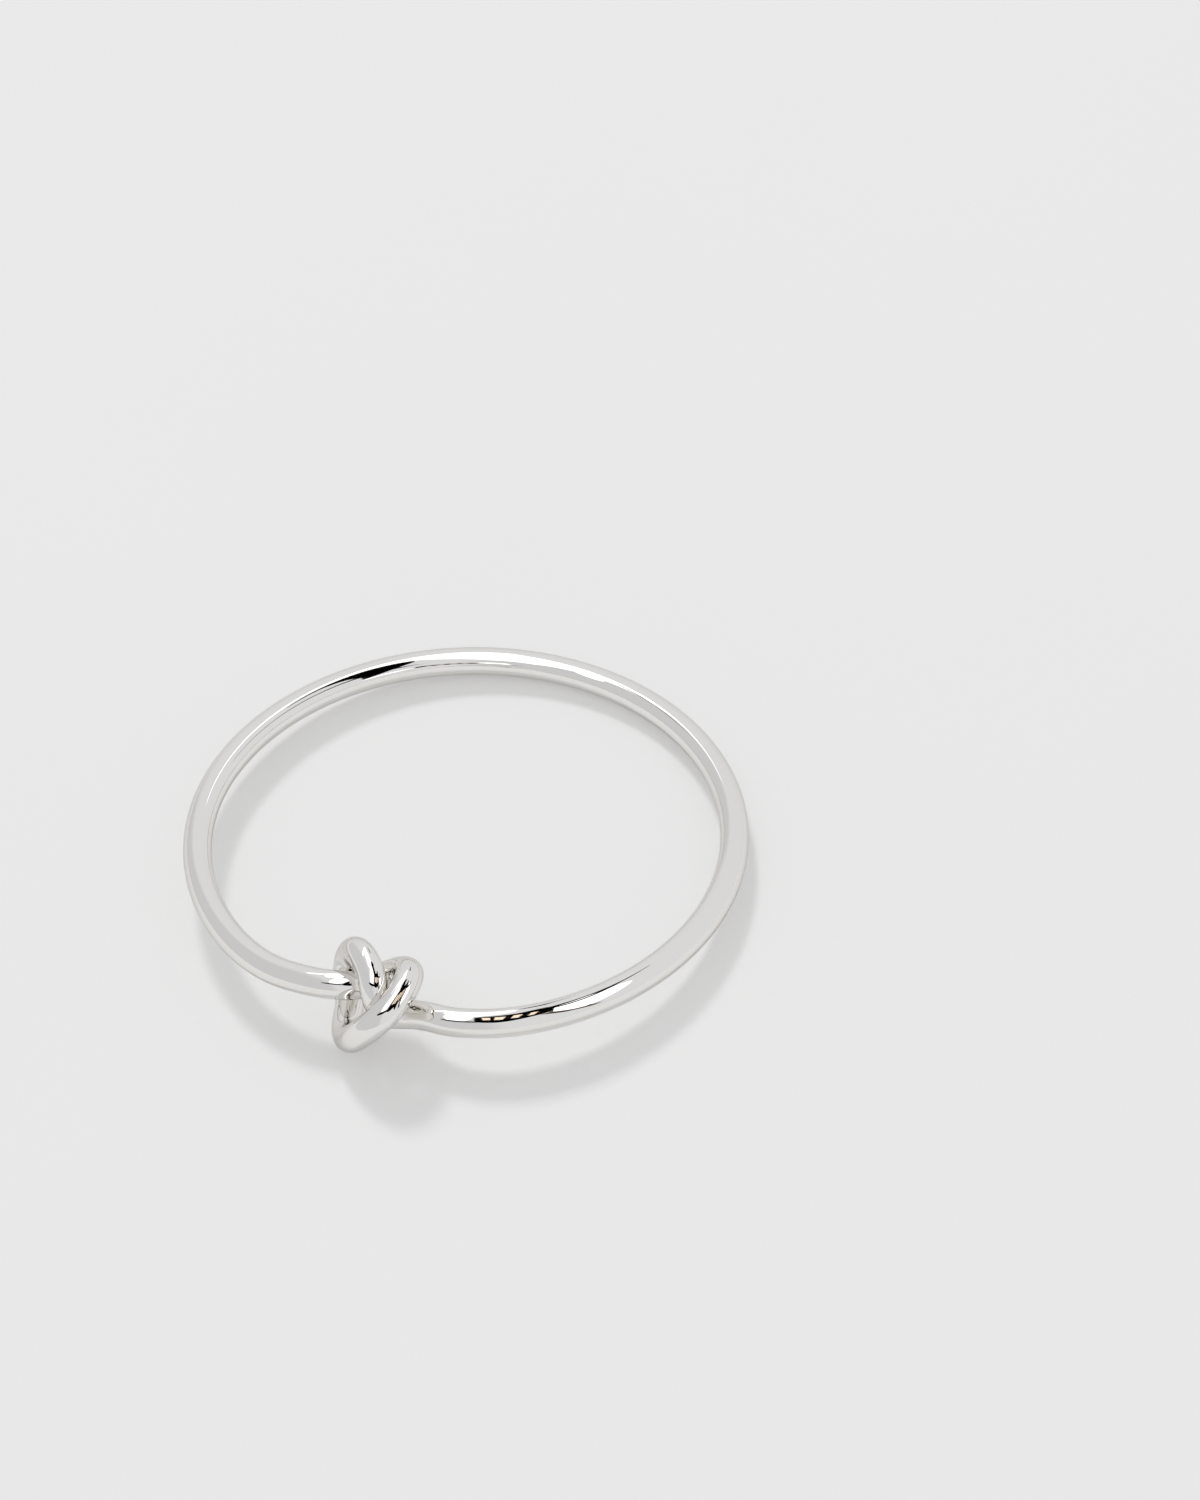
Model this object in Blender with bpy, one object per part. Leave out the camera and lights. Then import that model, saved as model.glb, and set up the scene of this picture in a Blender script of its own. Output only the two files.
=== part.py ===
"""Knot ring: a stackable finger ring of round polished silver wire, tied in one overhand knot.

The ring is one closed tube. Most of it is a round hoop. At the front (-Y) the wire leaves the hoop, goes
through a loose overhand knot and joins the hoop again, a little inside the true circle. The ring lies on
its side as it would on a table: the knot's low lobe and the far rim of the hoop touch the ground at z = 0.
"""

import math

import bpy
import numpy as np
from mathutils import Matrix, Vector

# Driving dimensions, in metres and degrees
WIRE_DIAMETER = 0.00095
HOOP_RADIUS = 0.0092          # from the finger's axis to the middle of the wire
KNOT_LEAN = 45.0              # the knot is turned outwards about its wire, so that one lobe is low in front

# How the hoop gives way beside the knot, in wire diameters
KNOT_INSET = 0.95             # the wire at the knot runs this far inside the true circle
KNOT_STAGGER = 0.36           # one end enters the knot this far above the hoop's plane, the other below
INSET_SPREAD = 3.2            # both fade out over this length of hoop
HOOP_START = 2.95             # the hoop's first point lies this far to each side of the knot's middle

# The wire's way through the knot, in wire diameters from the middle of the knot:
# along the hoop to the right, towards the low lobe, and towards the front of the knot
KNOT_ROUTE = (
    # along,  low, front
    (-2.15, -0.04, 0.22),     # in from the hoop's left end
    (-1.50, -0.11, 0.12),     # over the back of the tall loop
    (-0.86, -0.27, -0.18),
    (-0.20, -0.67, -0.49),    # behind the tall loop's front
    (0.46, -1.07, -0.42),
    (0.98, -1.12, 0.08),      # round the right lobe
    (1.18, -0.72, 0.76),
    (1.10, -0.06, 1.24),      # down across the front
    (0.76, 0.62, 1.46),
    (0.14, 1.24, 1.10),
    (-0.54, 1.56, 0.24),      # round the low lobe
    (-1.02, 1.16, -0.62),
    (-1.20, 0.48, -1.04),     # up behind the left end
    (-1.44, -0.22, -1.12),
    (-1.56, -0.90, -0.92),
    (-1.32, -1.36, -0.40),    # over the top of the tall loop
    (-0.84, -1.35, 0.22),
    (-0.32, -0.96, 0.60),     # down over the left end
    (0.06, -0.42, 0.78),
    (0.28, 0.12, 0.51),       # under the front strand
    (0.62, 0.40, 0.00),
    (1.28, 0.28, -0.28),
    (2.15, 0.20, -0.13),      # out to the hoop's right end
)

# How finely the tube is drawn
HOOP_SPACING = 0.8            # wire diameters from one point of the hoop to the next
KNOT_STEPS = 4                # points drawn from one point of the knot's route to the next
BEVEL_STEPS = 4               # bevel resolution: twelve flats round the wire
SETTLING_ROUNDS = 6


def clear_scene():
    """Removes whatever the scene holds."""
    for old in list(bpy.data.objects):
        bpy.data.objects.remove(old, do_unlink=True)


def polished_silver():
    """Bright silver, polished to a mirror."""
    material = bpy.data.materials.new("polished_silver")
    material.use_nodes = True
    shader = material.node_tree.nodes["Principled BSDF"]
    shader.inputs["Base Color"].default_value = (0.90, 0.89, 0.87, 1.0)
    shader.inputs["Metallic"].default_value = 1.0
    shader.inputs["Roughness"].default_value = 0.06
    return material


def hoop_point(turn):
    """The middle of the wire on the hoop, this far round from the knot, positive towards +X."""
    share = math.exp(-((turn * HOOP_RADIUS / (INSET_SPREAD * WIRE_DIAMETER)) ** 2))
    radius = HOOP_RADIUS - share * KNOT_INSET * WIRE_DIAMETER
    height = -math.copysign(share * KNOT_STAGGER * WIRE_DIAMETER, turn)
    return radius * math.sin(turn), -radius * math.cos(turn), height


def knot_point(along, low, front):
    """A point of the knot's route, turned from the knot's own directions to the hoop's."""
    lean = math.radians(KNOT_LEAN)
    outward = low * math.cos(lean) + front * math.sin(lean)
    upward = front * math.cos(lean) - low * math.sin(lean)
    middle = HOOP_RADIUS - KNOT_INSET * WIRE_DIAMETER
    return along * WIRE_DIAMETER, -middle - outward * WIRE_DIAMETER, upward * WIRE_DIAMETER


def route_points():
    """The points that the wire goes through, once round: through the knot, then round the hoop."""
    start = math.asin(HOOP_START * WIRE_DIAMETER / HOOP_RADIUS)
    length = 2.0 * (math.pi - start) * HOOP_RADIUS
    count = round(length / (HOOP_SPACING * WIRE_DIAMETER)) + 1
    turns = np.linspace(start, 2.0 * math.pi - start, count)
    hoop = [hoop_point(math.remainder(turn, 2.0 * math.pi)) for turn in turns]
    return [knot_point(*point) for point in KNOT_ROUTE], hoop


def even_curve(points, steps):
    """Draws one closed curve through the points that bends evenly, with no corner at any of them."""
    count = len(points)
    blend = np.eye(count) * 4.0 + np.roll(np.eye(count), 1, axis=0) + np.roll(np.eye(count), -1, axis=0)
    guides = np.linalg.solve(blend / 6.0, points)
    drawn = []
    for index in range(count):
        before, here = guides[index - 1], guides[index]
        after, beyond = guides[(index + 1) % count], guides[(index + 2) % count]
        for t in np.arange(steps[index]) / steps[index]:
            early = (1.0 - t) ** 3 * before + (3.0 * t**3 - 6.0 * t**2 + 4.0) * here
            late = (-3.0 * t**3 + 3.0 * t**2 + 3.0 * t + 1.0) * after + t**3 * beyond
            drawn.append((early + late) / 6.0)
    return np.array(drawn)


def wire_route():
    """The middle of the wire, once round, and how many of its points belong to the knot."""
    knot, hoop = route_points()
    steps = [KNOT_STEPS] * len(knot) + [1] * len(hoop)
    return even_curve(np.array(knot + hoop), steps), KNOT_STEPS * len(knot)


def resting_turn(route, knot_count):
    """Finds how the ring lies still: on the knot's low lobe and on the rim that lies across from it.

    The line from one to the other passes under the ring's balance point.
    """
    spans = np.linalg.norm(np.roll(route, -1, axis=0) - route, axis=1)[:, None]
    balance = ((route + np.roll(route, -1, axis=0)) / 2.0 * spans).sum(axis=0)[:2] / spans.sum()
    down = np.array((0.0, 0.0, -1.0))
    for _ in range(SETTLING_ROUNDS):
        lobe = route[:knot_count][np.argmax(route[:knot_count] @ down)]
        way = (balance - lobe[:2]) / np.linalg.norm(balance - lobe[:2])
        middle = -lobe[:2] @ way
        reach = middle + math.sqrt(middle**2 - lobe[:2] @ lobe[:2] + HOOP_RADIUS**2)
        across = (lobe[:2] + reach * way) / HOOP_RADIUS
        slope = math.atan2(-lobe[2], HOOP_RADIUS - across @ lobe[:2])
        down = np.array((*(math.sin(slope) * across), -math.cos(slope)))
    return Matrix.Rotation(-slope, 3, Vector((across[1], -across[0], 0.0)))


def wire_ring(collection, route):
    """The whole ring as one round wire along its closed route."""
    curve = bpy.data.curves.new("knot_ring", "CURVE")
    curve.dimensions = "3D"
    curve.resolution_u = 1
    curve.render_resolution_u = 1
    curve.bevel_depth = WIRE_DIAMETER / 2.0
    curve.bevel_resolution = BEVEL_STEPS
    curve.twist_mode = "MINIMUM"
    spline = curve.splines.new("POLY")
    spline.points.add(len(route) - 1)
    for target, place in zip(spline.points, route):
        target.co = (*place, 1.0)
    spline.use_cyclic_u = True
    curve.materials.append(polished_silver())
    ring = bpy.data.objects.new("knot_ring", curve)
    collection.objects.link(ring)
    return ring


def lay_on_ground(ring, turn):
    """Leans the ring the way it rests, and moves it so that the middle of its underside is the origin."""
    ring.rotation_euler = turn.to_euler()
    bpy.context.view_layer.update()
    seen = ring.evaluated_get(bpy.context.evaluated_depsgraph_get())
    mesh = seen.to_mesh()
    corners = np.array([ring.matrix_world @ corner.co for corner in mesh.vertices])
    seen.to_mesh_clear()
    low, high = corners.min(axis=0), corners.max(axis=0)
    ring.location = (-(low[0] + high[0]) / 2.0, -(low[1] + high[1]) / 2.0, -low[2])


def main():
    clear_scene()
    collection = bpy.data.collections.new("stackable_knot_ring")
    bpy.context.scene.collection.children.link(collection)
    route, knot_count = wire_route()
    ring = wire_ring(collection, route)
    lay_on_ground(ring, resting_turn(route, knot_count))


main()
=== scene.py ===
"""Looks of the stackable knot ring: polished silver wire on a pale table, in soft studio light.

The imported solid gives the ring's place. This script draws the same wire much finer, gives it the finish of
polished silver, and sets the table, the light and the camera. Lengths are in metres and angles in degrees,
unless a name says otherwise.
"""

import logging
import math
from dataclasses import dataclass, field
from enum import Enum
from typing import Any, Dict, List, Tuple

import bpy
import numpy as np
from mathutils import Matrix, Quaternion, Vector

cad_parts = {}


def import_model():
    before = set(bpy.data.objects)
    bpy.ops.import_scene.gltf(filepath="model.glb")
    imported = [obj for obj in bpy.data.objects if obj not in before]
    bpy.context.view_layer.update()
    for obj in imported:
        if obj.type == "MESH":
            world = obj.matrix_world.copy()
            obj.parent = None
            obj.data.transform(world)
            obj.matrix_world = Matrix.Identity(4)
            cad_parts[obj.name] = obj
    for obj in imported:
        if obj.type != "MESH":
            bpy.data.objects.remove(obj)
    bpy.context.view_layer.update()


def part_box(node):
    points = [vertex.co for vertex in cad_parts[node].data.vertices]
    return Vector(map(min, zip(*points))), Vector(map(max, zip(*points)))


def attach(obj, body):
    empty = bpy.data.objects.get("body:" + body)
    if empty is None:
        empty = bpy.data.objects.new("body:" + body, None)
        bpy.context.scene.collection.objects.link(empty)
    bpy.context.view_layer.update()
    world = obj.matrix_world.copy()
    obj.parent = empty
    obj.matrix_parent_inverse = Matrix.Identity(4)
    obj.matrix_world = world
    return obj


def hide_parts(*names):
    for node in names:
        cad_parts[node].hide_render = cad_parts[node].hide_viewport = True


LOG = logging.getLogger("knot_ring")

# The photograph, and how far its camera saw
IMAGE_WIDTH = 1200
IMAGE_HEIGHT = 1500
FOCAL_PIXELS = 5360.0

# The soft mottling: how many octaves its noise has, and the part of the noise's range that is used
MOTTLE_DETAIL = 4.0
MOTTLE_LOW = 0.3
MOTTLE_HIGH = 0.7

# The wire's way through the knot, in wire diameters from the middle of the knot:
# along the hoop to the right, towards the low lobe, and towards the front of the knot
KNOT_ROUTE = (
    # along,  low, front
    (-2.15, -0.04, 0.22),     # in from the hoop's left end
    (-1.50, -0.11, 0.12),     # over the back of the tall loop
    (-0.86, -0.27, -0.18),
    (-0.20, -0.67, -0.49),    # behind the tall loop's front
    (0.46, -1.07, -0.42),
    (0.98, -1.12, 0.08),      # round the right lobe
    (1.18, -0.72, 0.76),
    (1.10, -0.06, 1.24),      # down across the front
    (0.76, 0.62, 1.46),
    (0.14, 1.24, 1.10),
    (-0.54, 1.56, 0.24),      # round the low lobe
    (-1.02, 1.16, -0.62),
    (-1.20, 0.48, -1.04),     # up behind the left end
    (-1.44, -0.22, -1.12),
    (-1.56, -0.90, -0.92),
    (-1.32, -1.36, -0.40),    # over the top of the tall loop
    (-0.84, -1.35, 0.22),
    (-0.32, -0.96, 0.60),     # down over the left end
    (0.06, -0.42, 0.78),
    (0.28, 0.12, 0.51),       # under the front strand
    (0.62, 0.40, 0.00),
    (1.28, 0.28, -0.28),
    (2.15, 0.20, -0.13),      # out to the hoop's right end
)


class Shade(Enum):
    """What a studio card gives back: its emission, as a colour and a strength."""

    BLACK = ((0.0, 0.0, 0.0), 0.0)
    BROWN = ((0.09, 0.06, 0.045), 1.0)
    AMBER = ((1.0, 0.82, 0.66), 1.2)
    WHITE = ((1.0, 1.0, 1.0), 1.6)
    LAMP = ((1.0, 1.0, 1.0), 27.0)


def clear_selection() -> None:
    """Deselects everything, because an operator acts on all that is selected."""
    bpy.ops.object.select_all(action="DESELECT")


def new_material(name: str) -> Tuple[bpy.types.Material, Any, Any]:
    """Makes a node material.

    Args:
        name: the material's name.

    Returns:
        The material, its node tree and its Principled shader.
    """
    material = bpy.data.materials.new(name)
    material.use_nodes = True
    tree = material.node_tree
    return material, tree, tree.nodes["Principled BSDF"]


def mottle_group() -> bpy.types.NodeTree:
    """Builds the soft mottling that the silver and the table share.

    Returns:
        A node group: Place, Size and Amount go in, and a Factor round 1 comes out.
    """
    group = bpy.data.node_groups.new("soft_mottle", "ShaderNodeTree")
    sockets = group.interface
    sockets.new_socket(name="Place", in_out="INPUT", socket_type="NodeSocketVector")
    sockets.new_socket(name="Size", in_out="INPUT", socket_type="NodeSocketFloat")
    sockets.new_socket(name="Amount", in_out="INPUT", socket_type="NodeSocketFloat")
    sockets.new_socket(name="Factor", in_out="OUTPUT", socket_type="NodeSocketFloat")
    inward = group.nodes.new("NodeGroupInput")
    outward = group.nodes.new("NodeGroupOutput")
    scale = group.nodes.new("ShaderNodeMath")
    scale.operation = "DIVIDE"
    scale.inputs[0].default_value = 1.0
    noise = group.nodes.new("ShaderNodeTexNoise")
    noise.inputs["Detail"].default_value = MOTTLE_DETAIL
    spread = group.nodes.new("ShaderNodeMapRange")
    spread.inputs["From Min"].default_value = MOTTLE_LOW
    spread.inputs["From Max"].default_value = MOTTLE_HIGH
    low = group.nodes.new("ShaderNodeMath")
    low.operation = "SUBTRACT"
    low.inputs[0].default_value = 1.0
    high = group.nodes.new("ShaderNodeMath")
    high.operation = "ADD"
    high.inputs[0].default_value = 1.0
    group.links.new(inward.outputs["Size"], scale.inputs[1])
    group.links.new(inward.outputs["Place"], noise.inputs["Vector"])
    group.links.new(scale.outputs[0], noise.inputs["Scale"])
    group.links.new(inward.outputs["Amount"], low.inputs[1])
    group.links.new(inward.outputs["Amount"], high.inputs[1])
    group.links.new(noise.outputs["Fac"], spread.inputs["Value"])
    group.links.new(low.outputs[0], spread.inputs["To Min"])
    group.links.new(high.outputs[0], spread.inputs["To Max"])
    group.links.new(spread.outputs["Result"], outward.inputs["Factor"])
    return group


@dataclass(frozen=True)
class PolishedSilver:
    """The finish of the whole ring: silver polished to a mirror, darker at its rim, and with painted shade
    where strands meet.
    """

    colour: Tuple[float, float, float] = (0.895, 0.878, 0.85)
    # Painted shade: the colour that the silver darkens towards where strands meet
    crevice_shade_colour: Tuple[float, float, float] = (0.50, 0.47, 0.42)
    rim_colour: Tuple[float, float, float] = (0.72, 0.71, 0.70)
    roughness: float = 0.045
    buffing_length: float = 0.004
    buffing_width: float = 0.00008
    buffing_amount: float = 0.35
    ripple_size: float = 0.0016
    ripple_height: float = 0.0000016

    def material(self, mottle: bpy.types.NodeTree) -> bpy.types.Material:
        """Makes the material.

        Args:
            mottle: the shared mottling group.

        Returns:
            The material, which reads the wire_place attribute of the piece and its attribute for the painted
            shade where strands meet.
        """
        material, tree, shader = new_material("polished_silver")
        nodes, links = tree.nodes, tree.links
        shader.inputs["Metallic"].default_value = 1.0
        shader.inputs["Specular Tint"].default_value = (*self.rim_colour, 1.0)
        place = nodes.new("ShaderNodeAttribute")
        place.attribute_name = "wire_place"
        crevice_shade = nodes.new("ShaderNodeAttribute")
        crevice_shade.attribute_name = "crevice_shade"
        # Painted shade: the silver's colour darkens towards the shade colour where strands meet
        tone = nodes.new("ShaderNodeMix")
        tone.data_type = "RGBA"
        tone.inputs["A"].default_value = (*self.colour, 1.0)
        tone.inputs["B"].default_value = (*self.crevice_shade_colour, 1.0)
        links.new(crevice_shade.outputs["Fac"], tone.inputs["Factor"])
        links.new(tone.outputs["Result"], shader.inputs["Base Color"])

        stretch = nodes.new("ShaderNodeMapping")
        stretch.inputs["Scale"].default_value = (1.0, 1.0, self.buffing_width / self.buffing_length)
        links.new(place.outputs["Vector"], stretch.inputs["Vector"])
        buffing = nodes.new("ShaderNodeGroup")
        buffing.node_tree = mottle
        buffing.inputs["Size"].default_value = self.buffing_width
        buffing.inputs["Amount"].default_value = self.buffing_amount
        links.new(stretch.outputs["Vector"], buffing.inputs["Place"])
        rough = nodes.new("ShaderNodeMath")
        rough.operation = "MULTIPLY"
        rough.inputs[1].default_value = self.roughness
        links.new(buffing.outputs["Factor"], rough.inputs[0])
        links.new(rough.outputs[0], shader.inputs["Roughness"])

        ripple = nodes.new("ShaderNodeTexNoise")
        ripple.inputs["Scale"].default_value = 1.0 / self.ripple_size
        ripple.inputs["Detail"].default_value = 1.0
        coordinates = nodes.new("ShaderNodeTexCoord")
        links.new(coordinates.outputs["Object"], ripple.inputs["Vector"])
        bump = nodes.new("ShaderNodeBump")
        bump.inputs["Strength"].default_value = 1.0
        bump.inputs["Distance"].default_value = self.ripple_height
        links.new(ripple.outputs["Fac"], bump.inputs["Height"])
        links.new(bump.outputs["Normal"], shader.inputs["Normal"])
        return material


@dataclass(frozen=True)
class PaleTable:
    """The finish of the table: matt white, almost even, with a little painted glow, a fill light from the
    table itself, so that shadows are pale.
    """

    colour: Tuple[float, float, float] = (0.85, 0.85, 0.85)
    # Painted light: the table's own glow, which pales the shadows on it
    painted_glow: float = 0.16
    roughness: float = 0.95
    cloud_size: float = 0.03
    cloud_amount: float = 0.004

    def material(self, mottle: bpy.types.NodeTree) -> bpy.types.Material:
        """Makes the material.

        Args:
            mottle: the shared mottling group.

        Returns:
            The material.
        """
        material, tree, shader = new_material("pale_table")
        nodes, links = tree.nodes, tree.links
        shader.inputs["Roughness"].default_value = self.roughness
        shader.inputs["Specular IOR Level"].default_value = 0.0
        shader.inputs["Emission Color"].default_value = (1.0, 1.0, 1.0, 1.0)
        shader.inputs["Emission Strength"].default_value = self.painted_glow
        coordinates = nodes.new("ShaderNodeTexCoord")
        clouds = nodes.new("ShaderNodeGroup")
        clouds.node_tree = mottle
        clouds.inputs["Size"].default_value = self.cloud_size
        clouds.inputs["Amount"].default_value = self.cloud_amount
        links.new(coordinates.outputs["Object"], clouds.inputs["Place"])
        shaded = nodes.new("ShaderNodeMix")
        shaded.data_type = "RGBA"
        shaded.blend_type = "MULTIPLY"
        shaded.inputs["Factor"].default_value = 1.0
        shaded.inputs["A"].default_value = (*self.colour, 1.0)
        links.new(clouds.outputs["Factor"], shaded.inputs["B"])
        links.new(shaded.outputs["Result"], shader.inputs["Base Color"])
        return material


@dataclass
class KnotRing:
    """The ring: one closed round wire, tied in an overhand knot at the front."""

    wire_diameter: float = 0.00095
    polish_swell: float = 1.03
    hoop_radius: float = 0.0092
    knot_lean: float = 45.0
    knot_inset: float = 0.95
    knot_stagger: float = 0.36
    inset_spread: float = 3.2
    hoop_start: float = 2.95
    hoop_spacing: float = 0.8
    knot_steps: int = 14
    hoop_steps: int = 5
    wire_sides: int = 64
    first_row: int = 12
    # How far from another strand the painted shade where strands meet reaches
    crevice_shade_reach: float = 0.00016
    strand_apart: float = 2.2
    settling_rounds: int = 6
    route: np.ndarray = field(init=False)
    turn: Matrix = field(init=False)

    def __post_init__(self) -> None:
        """Works out the wire's route and how the ring rests."""
        knot, hoop = self.route_points()
        steps = [self.knot_steps] * len(knot) + [self.hoop_steps] * len(hoop)
        self.route = self.even_curve(np.array(knot + hoop), steps)
        self.turn = self.resting_turn(self.route, self.knot_steps * len(knot))

    def hoop_point(self, turn: float) -> Tuple[float, float, float]:
        """Finds the middle of the wire on the hoop.

        Args:
            turn: how far round from the knot, in radians, positive towards +X.

        Returns:
            The point, with the hoop's middle at the origin and its plane level.
        """
        share = math.exp(-((turn * self.hoop_radius / (self.inset_spread * self.wire_diameter)) ** 2))
        radius = self.hoop_radius - share * self.knot_inset * self.wire_diameter
        height = -math.copysign(share * self.knot_stagger * self.wire_diameter, turn)
        return radius * math.sin(turn), -radius * math.cos(turn), height

    def knot_point(self, along: float, low: float, front: float) -> Tuple[float, float, float]:
        """Turns a point of the knot's route from the knot's own directions to the hoop's.

        Args:
            along: along the hoop to the right, in wire diameters.
            low: towards the low lobe, in wire diameters.
            front: towards the front of the knot, in wire diameters.

        Returns:
            The point, with the hoop's middle at the origin and its plane level.
        """
        lean = math.radians(self.knot_lean)
        outward = low * math.cos(lean) + front * math.sin(lean)
        upward = front * math.cos(lean) - low * math.sin(lean)
        middle = self.hoop_radius - self.knot_inset * self.wire_diameter
        size = self.wire_diameter
        return along * size, -middle - outward * size, upward * size

    def route_points(self) -> Tuple[List[Tuple[float, float, float]], List[Tuple[float, float, float]]]:
        """Lists the points that the wire goes through, once round.

        Returns:
            The knot's points, and then the hoop's.
        """
        start = math.asin(self.hoop_start * self.wire_diameter / self.hoop_radius)
        length = 2.0 * (math.pi - start) * self.hoop_radius
        count = round(length / (self.hoop_spacing * self.wire_diameter)) + 1
        turns = np.linspace(start, 2.0 * math.pi - start, count)
        hoop = [self.hoop_point(math.remainder(turn, 2.0 * math.pi)) for turn in turns]
        return [self.knot_point(*point) for point in KNOT_ROUTE], hoop

    @staticmethod
    def even_curve(points: np.ndarray, steps: List[int]) -> np.ndarray:
        """Draws one closed curve through the points that bends evenly, with no corner at any of them.

        Args:
            points: the points to go through.
            steps: how many points to draw from each of them to the next.

        Returns:
            The drawn points, once round.
        """
        count = len(points)
        unit = np.eye(count)
        blend = unit * 4.0 + np.roll(unit, 1, axis=0) + np.roll(unit, -1, axis=0)
        guides = np.linalg.solve(blend / 6.0, points)
        drawn = []
        for index in range(count):
            before, here = guides[index - 1], guides[index]
            after, beyond = guides[(index + 1) % count], guides[(index + 2) % count]
            for t in np.arange(steps[index]) / steps[index]:
                early = (1.0 - t) ** 3 * before + (3.0 * t**3 - 6.0 * t**2 + 4.0) * here
                late = (-3.0 * t**3 + 3.0 * t**2 + 3.0 * t + 1.0) * after + t**3 * beyond
                drawn.append((early + late) / 6.0)
        return np.array(drawn)

    def resting_turn(self, route: np.ndarray, knot_count: int) -> Matrix:
        """Finds how the ring lies still: on the knot's low lobe and on the rim across from it.

        Args:
            route: the middle of the wire, once round.
            knot_count: how many of its points belong to the knot.

        Returns:
            The turn from the hoop's own level to how the ring rests.
        """
        spans = np.linalg.norm(np.roll(route, -1, axis=0) - route, axis=1)[:, None]
        middles = (route + np.roll(route, -1, axis=0)) / 2.0
        balance = (middles * spans).sum(axis=0)[:2] / spans.sum()
        down = np.array((0.0, 0.0, -1.0))
        for _ in range(self.settling_rounds):
            lobe = route[:knot_count][np.argmax(route[:knot_count] @ down)]
            way = (balance - lobe[:2]) / np.linalg.norm(balance - lobe[:2])
            middle = -lobe[:2] @ way
            reach = middle + math.sqrt(middle**2 - lobe[:2] @ lobe[:2] + self.hoop_radius**2)
            across = (lobe[:2] + reach * way) / self.hoop_radius
            slope = math.atan2(-lobe[2], self.hoop_radius - across @ lobe[:2])
            down = np.array((*(math.sin(slope) * across), -math.cos(slope)))
        return Matrix.Rotation(-slope, 3, Vector((across[1], -across[0], 0.0)))

    def build(self) -> bpy.types.Object:
        """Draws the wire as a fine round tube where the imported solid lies.

        Returns:
            The ring, as one closed mesh in the row's frame.
        """
        route = np.roll(self.route, -self.first_row * self.knot_steps, axis=0)
        clear_selection()
        bpy.ops.mesh.primitive_circle_add(vertices=len(route), radius=self.hoop_radius, fill_type="NOTHING")
        ring = bpy.context.active_object
        ring.name = ring.data.name = "silver_knot_ring"
        ring.data.vertices.foreach_set("co", route.astype(np.float32).ravel())
        bpy.ops.object.convert(target="CURVE")
        curve = ring.data
        curve.dimensions = "3D"
        curve.twist_mode = "MINIMUM"
        curve.bevel_mode = "ROUND"
        curve.bevel_depth = self.wire_diameter * self.polish_swell / 2.0
        curve.bevel_resolution = self.wire_sides // 2 - 2
        bpy.ops.object.convert(target="MESH")
        bpy.ops.object.shade_smooth()
        self.lay_down(ring)
        return ring

    def lay_down(self, ring: bpy.types.Object) -> None:
        """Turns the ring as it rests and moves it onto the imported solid's place.

        Args:
            ring: the drawn ring, still level and round the origin.
        """
        ring.rotation_euler = self.turn.to_euler()
        bpy.ops.object.transform_apply(location=False, rotation=True, scale=False)
        low, high = (np.array(corner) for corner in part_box("knot_ring"))
        places = np.array([corner.co for corner in ring.data.vertices])
        drawn_low, drawn_high = places.min(axis=0), places.max(axis=0)
        shift = (low + high - drawn_low - drawn_high) / 2.0
        shift[2] = low[2] - drawn_low[2]
        ring.location = shift
        bpy.ops.object.transform_apply(location=True, rotation=False, scale=False)

    def mark_places(self, ring: bpy.types.Object) -> None:
        """Writes the attributes that the finish reads: a point's place on the wire, and how near it lies to
        another strand, which sets the painted shade where strands meet.

        Args:
            ring: the finished mesh.
        """
        mesh = ring.data
        places = np.array([corner.co for corner in mesh.vertices])
        rows = len(self.route)
        sides = len(places) // rows
        tube = places.reshape(rows, sides, 3)
        middles = tube.mean(axis=1)
        lengths = np.linalg.norm(np.roll(middles, -1, axis=0) - middles, axis=1)
        travel = np.concatenate(([0.0], np.cumsum(lengths)[:-1]))
        angles = np.arange(sides) * 2.0 * math.pi / sides
        radius = self.wire_diameter / 2.0
        place = np.zeros((rows, sides, 3))
        place[:, :, 0] = radius * np.cos(angles)
        place[:, :, 1] = radius * np.sin(angles)
        place[:, :, 2] = travel[:, None]
        whole = lengths.sum()
        # Painted shade where strands meet: darkest where another strand's surface is nearest
        crevice_shade = np.zeros((rows, sides))
        for row in range(rows):
            round_way = np.abs(travel - travel[row])
            apart = np.minimum(round_way, whole - round_way) > self.strand_apart * self.wire_diameter
            others = middles[apart]
            distance = np.linalg.norm(tube[row][:, None, :] - others[None, :, :], axis=2).min(axis=1)
            crevice_shade[row] = np.clip(1.0 - (distance - radius) / self.crevice_shade_reach, 0.0, 1.0)
        mesh.attributes.new("wire_place", "FLOAT_VECTOR", "POINT")
        mesh.attributes["wire_place"].data.foreach_set("vector", place.astype(np.float32).ravel())
        mesh.attributes.new("crevice_shade", "FLOAT", "POINT")
        mesh.attributes["crevice_shade"].data.foreach_set("value", (crevice_shade**2).astype(np.float32).ravel())

    def dress(self, ring: bpy.types.Object, material: bpy.types.Material) -> None:
        """Gives the ring its finish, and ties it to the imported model.

        Args:
            ring: the finished mesh.
            material: the polished silver.
        """
        self.mark_places(ring)
        ring.data.materials.clear()
        ring.data.materials.append(material)
        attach(ring, "root")
        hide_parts("knot_ring")


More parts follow.
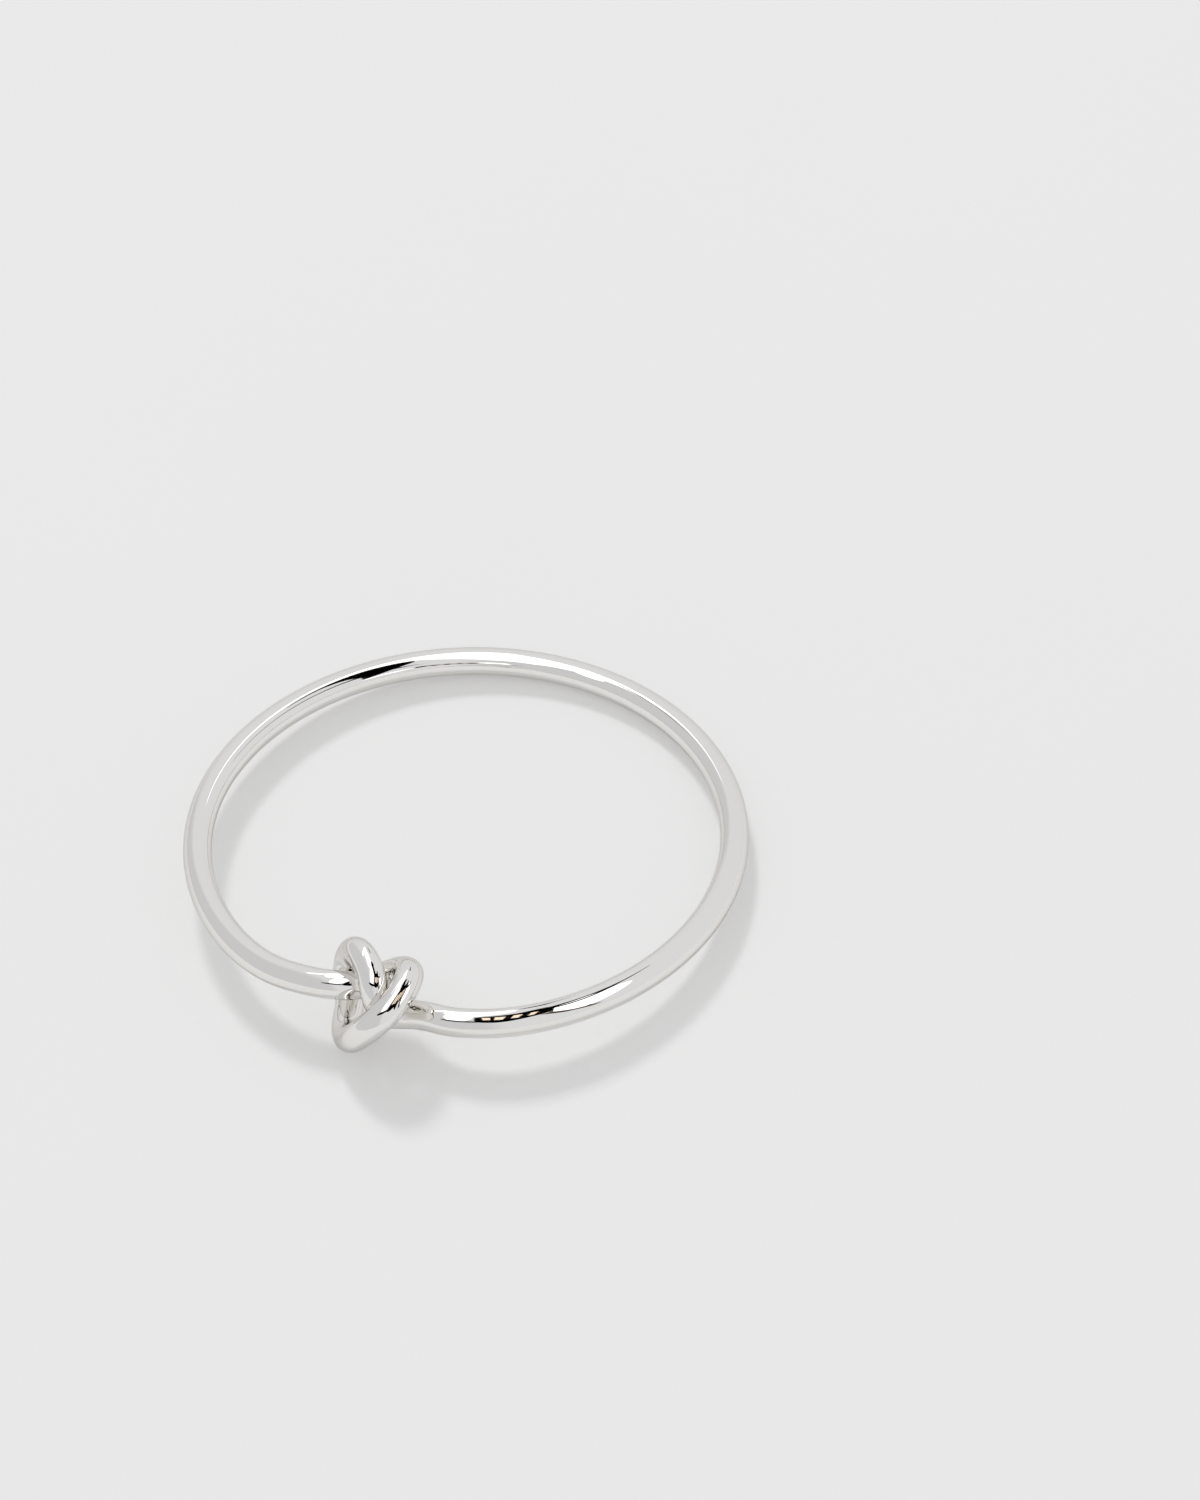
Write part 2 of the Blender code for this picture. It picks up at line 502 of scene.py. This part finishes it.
@dataclass(frozen=True)
class Card:
    """A band of card hung level over the ring.

    Its points are right of and behind the ring, with the band's width there, as shares of its own height.
    """

    name: str
    shade: Shade
    height: float
    points: Tuple[Tuple[float, float, float], ...]
    bend_steps: int = 8

    def outline(self) -> np.ndarray:
        """Draws the band's middle line and width evenly through its points.

        Returns:
            Rows of right, back and width, in metres.
        """
        marks = np.array(self.points)
        padded = np.vstack((2.0 * marks[0] - marks[1], marks, 2.0 * marks[-1] - marks[-2]))
        drawn = []
        for index in range(1, len(padded) - 2):
            before, here, after, beyond = padded[index - 1:index + 3]
            for t in np.arange(self.bend_steps) / self.bend_steps:
                slope = (after - before) * t
                bend = (2.0 * before - 5.0 * here + 4.0 * after - beyond) * t**2
                turn = (3.0 * here - before - 3.0 * after + beyond) * t**3
                drawn.append(here + (slope + bend + turn) / 2.0)
        drawn.append(marks[-1])
        return np.array(drawn) * self.height


@dataclass
class Studio:
    """The table, the sky of white cloth, the cards over the ring, and the camera."""

    table_size: float = 8.0
    sky_tone: float = 0.585
    sky_seen_tone: float = 0.807
    cloth_tone: Tuple[float, float, float] = (0.765, 0.772, 0.792)
    bright_way: Tuple[float, float, float] = (0.80, 0.55, 0.0)
    dim_end: float = -0.38
    bright_start: float = -0.10
    dim_share: float = 0.83
    camera_place: Tuple[float, float, float] = (0.0539499, -0.1152325, 0.1333524)
    camera_azimuth: float = 22.871
    camera_elevation: float = 45.232
    camera_roll: float = -4.083
    sensor: float = 36.0
    nearest_seen: float = 0.01
    farthest_seen: float = 20.0

    def cards(self) -> List[Card]:
        """Lists the cards, in the ring's own directions.

        Returns:
            The cards, the highest first.
        """
        return [
            Card("key_lamp", Shade.LAMP, 2.0,
                 ((-0.68, 0.86, 0.24), (-0.50, 0.60, 0.26))),
            Card("long_black", Shade.BLACK, 0.049,
                 ((0.22, 0.50, 0.06), (0.14, 0.30, 0.24), (0.28, 0.06, 0.28), (0.50, -0.15, 0.28),
                  (0.80, -0.38, 0.26), (1.20, -0.62, 0.22), (1.70, -0.85, 0.10))),
            Card("back_white", Shade.WHITE, 0.018,
                 ((-0.36, 0.95, 0.05), (-0.33, 0.72, 0.14), (-0.27, 0.38, 0.30), (-0.17, 0.02, 0.36),
                  (-0.13, -0.33, 0.22))),
            Card("left_white", Shade.WHITE, 0.0179,
                 ((-0.34, 0.30, 0.05), (-0.44, 0.00, 0.12), (-0.52, -0.20, 0.05))),
            Card("near_white", Shade.WHITE, 0.0091,
                 ((-0.09, -0.62, 0.14), (0.03, -0.85, 0.26), (0.04, -1.15, 0.36), (0.05, -1.55, 0.25))),
            Card("right_white", Shade.WHITE, 0.0091,
                 ((0.72, -0.42, 0.25), (0.95, -0.52, 0.50), (1.25, -0.70, 0.70), (1.60, -0.95, 0.55),
                  (1.85, -1.12, 0.25))),
            Card("near_black", Shade.BLACK, 0.009,
                 ((0.50, -0.38, 0.06), (0.55, -0.60, 0.26), (0.57, -0.88, 0.68), (0.57, -1.15, 0.62),
                  (0.56, -1.45, 0.46), (0.55, -1.62, 0.20))),
            Card("upper_line", Shade.BLACK, 0.009,
                 ((0.55, -0.62, 0.12), (0.75, -0.56, 0.13), (0.85, -0.46, 0.12), (0.89, -0.30, 0.10),
                  (0.87, -0.10, 0.05))),
            Card("under_line", Shade.BLACK, 0.009,
                 ((0.40, -1.50, 0.16), (0.15, -1.58, 0.22), (-0.10, -1.62, 0.22), (-0.30, -1.64, 0.12))),
            Card("brown_line", Shade.BROWN, 0.009,
                 ((0.95, -1.00, 0.12), (1.25, -1.12, 0.12), (1.54, -1.22, 0.14), (1.90, -1.28, 0.16),
                  (2.90, -1.50, 0.20))),
            Card("far_line", Shade.BLACK, 0.009,
                 ((-0.16, 1.00, 0.05), (-0.05, 0.60, 0.10), (0.08, 0.25, 0.14))),
            Card("first_glint", Shade.AMBER, 0.0089, ((0.42, -1.22, 0.08), (0.33, -0.95, 0.08))),
            Card("second_glint", Shade.AMBER, 0.0089, ((0.55, -1.20, 0.09), (0.44, -0.88, 0.09))),
            Card("third_glint", Shade.AMBER, 0.0089, ((0.67, -1.08, 0.07), (0.55, -0.78, 0.07))),
            Card("fourth_glint", Shade.AMBER, 0.0089, ((0.77, -0.96, 0.05), (0.64, -0.70, 0.05))),
        ]

    def card_finish(self, shade: Shade) -> bpy.types.Material:
        """Makes a card's material.

        Args:
            shade: what the card gives back.

        Returns:
            The material.
        """
        colour, strength = shade.value
        material, _, shader = new_material("card_" + shade.name.lower())
        shader.inputs["Base Color"].default_value = (0.0, 0.0, 0.0, 1.0)
        shader.inputs["Specular IOR Level"].default_value = 0.0
        shader.inputs["Emission Color"].default_value = (*colour, 1.0)
        shader.inputs["Emission Strength"].default_value = strength
        return material

    def hang_card(self, card: Card, turn: Matrix) -> bpy.types.Object:
        """Hangs one card over the ring.

        Args:
            card: the card.
            turn: the turn from the ring's own directions to the row's.

        Returns:
            The card's object: a lamp lights only the table, and any other card is seen only in the ring.
        """
        outline = card.outline()
        count = len(outline)
        clear_selection()
        bpy.ops.mesh.primitive_grid_add(x_subdivisions=count - 1, y_subdivisions=1, size=1.0)
        band = bpy.context.active_object
        band.name = card.name
        along = np.gradient(outline[:, :2], axis=0)
        along /= np.linalg.norm(along, axis=1)[:, None]
        side = np.stack([-along[:, 1], along[:, 0]], axis=1)
        for index, corner in enumerate(band.data.vertices):
            point = index % count
            half = outline[point, 2] / 2.0 * (1.0 if index >= count else -1.0)
            place = outline[point, :2] + side[point] * half
            corner.co = turn @ Vector((*place, card.height))
        band.data.materials.append(self.card_finish(card.shade))
        band.visible_camera = False
        band.visible_shadow = False
        band.visible_diffuse = card.shade is Shade.LAMP
        band.visible_glossy = card.shade is not Shade.LAMP
        return band

    def lay_table(self, finish: bpy.types.Material) -> bpy.types.Object:
        """Lays the table under the ring.

        Args:
            finish: the table's material.

        Returns:
            The table.
        """
        clear_selection()
        bpy.ops.mesh.primitive_plane_add(size=self.table_size)
        table = bpy.context.active_object
        table.name = "table"
        table.data.materials.append(finish)
        return table

    def light_sky(self) -> None:
        """Lights the scene from all round.

        The table gets an even light. The ring reflects a cooler sky, which is dimmer on its left side.
        """
        world = bpy.data.worlds.new("white_cloth")
        bpy.context.scene.world = world
        world.use_nodes = True
        nodes, links = world.node_tree.nodes, world.node_tree.links
        background = nodes["Background"]
        paths = nodes.new("ShaderNodeLightPath")
        coordinates = nodes.new("ShaderNodeTexCoord")
        side = nodes.new("ShaderNodeVectorMath")
        side.operation = "DOT_PRODUCT"
        side.inputs[1].default_value = self.bright_way
        brightness = nodes.new("ShaderNodeMapRange")
        brightness.interpolation_type = "SMOOTHSTEP"
        brightness.inputs["From Min"].default_value = self.dim_end
        brightness.inputs["From Max"].default_value = self.bright_start
        brightness.inputs["To Min"].default_value = self.dim_share
        brightness.inputs["To Max"].default_value = 1.0
        cloth = nodes.new("ShaderNodeMix")
        cloth.data_type = "RGBA"
        cloth.blend_type = "MULTIPLY"
        cloth.inputs["Factor"].default_value = 1.0
        cloth.inputs["A"].default_value = (*self.cloth_tone, 1.0)
        in_ring = nodes.new("ShaderNodeMix")
        in_ring.data_type = "RGBA"
        in_ring.inputs["A"].default_value = (*[self.sky_tone] * 3, 1.0)
        seen = nodes.new("ShaderNodeMix")
        seen.data_type = "RGBA"
        seen.inputs["B"].default_value = (*[self.sky_seen_tone] * 3, 1.0)
        links.new(coordinates.outputs["Generated"], side.inputs[0])
        links.new(side.outputs["Value"], brightness.inputs["Value"])
        links.new(brightness.outputs["Result"], cloth.inputs["B"])
        links.new(cloth.outputs["Result"], in_ring.inputs["B"])
        links.new(paths.outputs["Is Glossy Ray"], in_ring.inputs["Factor"])
        links.new(in_ring.outputs["Result"], seen.inputs["A"])
        links.new(paths.outputs["Is Camera Ray"], seen.inputs["Factor"])
        links.new(seen.outputs["Result"], background.inputs["Color"])

    def place_camera(self) -> bpy.types.Object:
        """Sets the camera at the photograph's angle to the ring.

        Returns:
            The camera.
        """
        lens = bpy.data.cameras.new("camera")
        lens.sensor_width = self.sensor
        lens.lens = self.sensor * FOCAL_PIXELS / max(IMAGE_WIDTH, IMAGE_HEIGHT)
        lens.clip_start = self.nearest_seen
        lens.clip_end = self.farthest_seen
        camera = bpy.data.objects.new("camera", lens)
        bpy.context.scene.collection.objects.link(camera)
        azimuth, elevation = math.radians(self.camera_azimuth), math.radians(self.camera_elevation)
        ahead = Vector((-math.sin(azimuth) * math.cos(elevation),
                        math.cos(azimuth) * math.cos(elevation),
                        -math.sin(elevation)))
        camera.location = self.camera_place
        camera.rotation_mode = "QUATERNION"
        roll = Quaternion((0.0, 0.0, 1.0), math.radians(self.camera_roll))
        camera.rotation_quaternion = ahead.to_track_quat("-Z", "Y") @ roll
        bpy.context.scene.camera = camera
        return camera


def main() -> None:
    """Builds the ring and its studio in order, and reports each piece."""
    logging.basicConfig(level=logging.INFO, format="%(name)s: %(message)s")
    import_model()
    bpy.context.scene.view_settings.view_transform = "Standard"
    mottle = mottle_group()

    ring_maker = KnotRing()
    ring = ring_maker.build()
    ring_maker.dress(ring, PolishedSilver().material(mottle))
    LOG.info("%s: %d faces", ring.name, len(ring.data.polygons))

    studio = Studio()
    table = studio.lay_table(PaleTable().material(mottle))
    LOG.info("%s laid", table.name)
    for card in studio.cards():
        band = studio.hang_card(card, ring_maker.turn)
        LOG.info("%s hung", band.name)
    studio.light_sky()
    studio.place_camera()


if __name__ == "__main__":
    main()
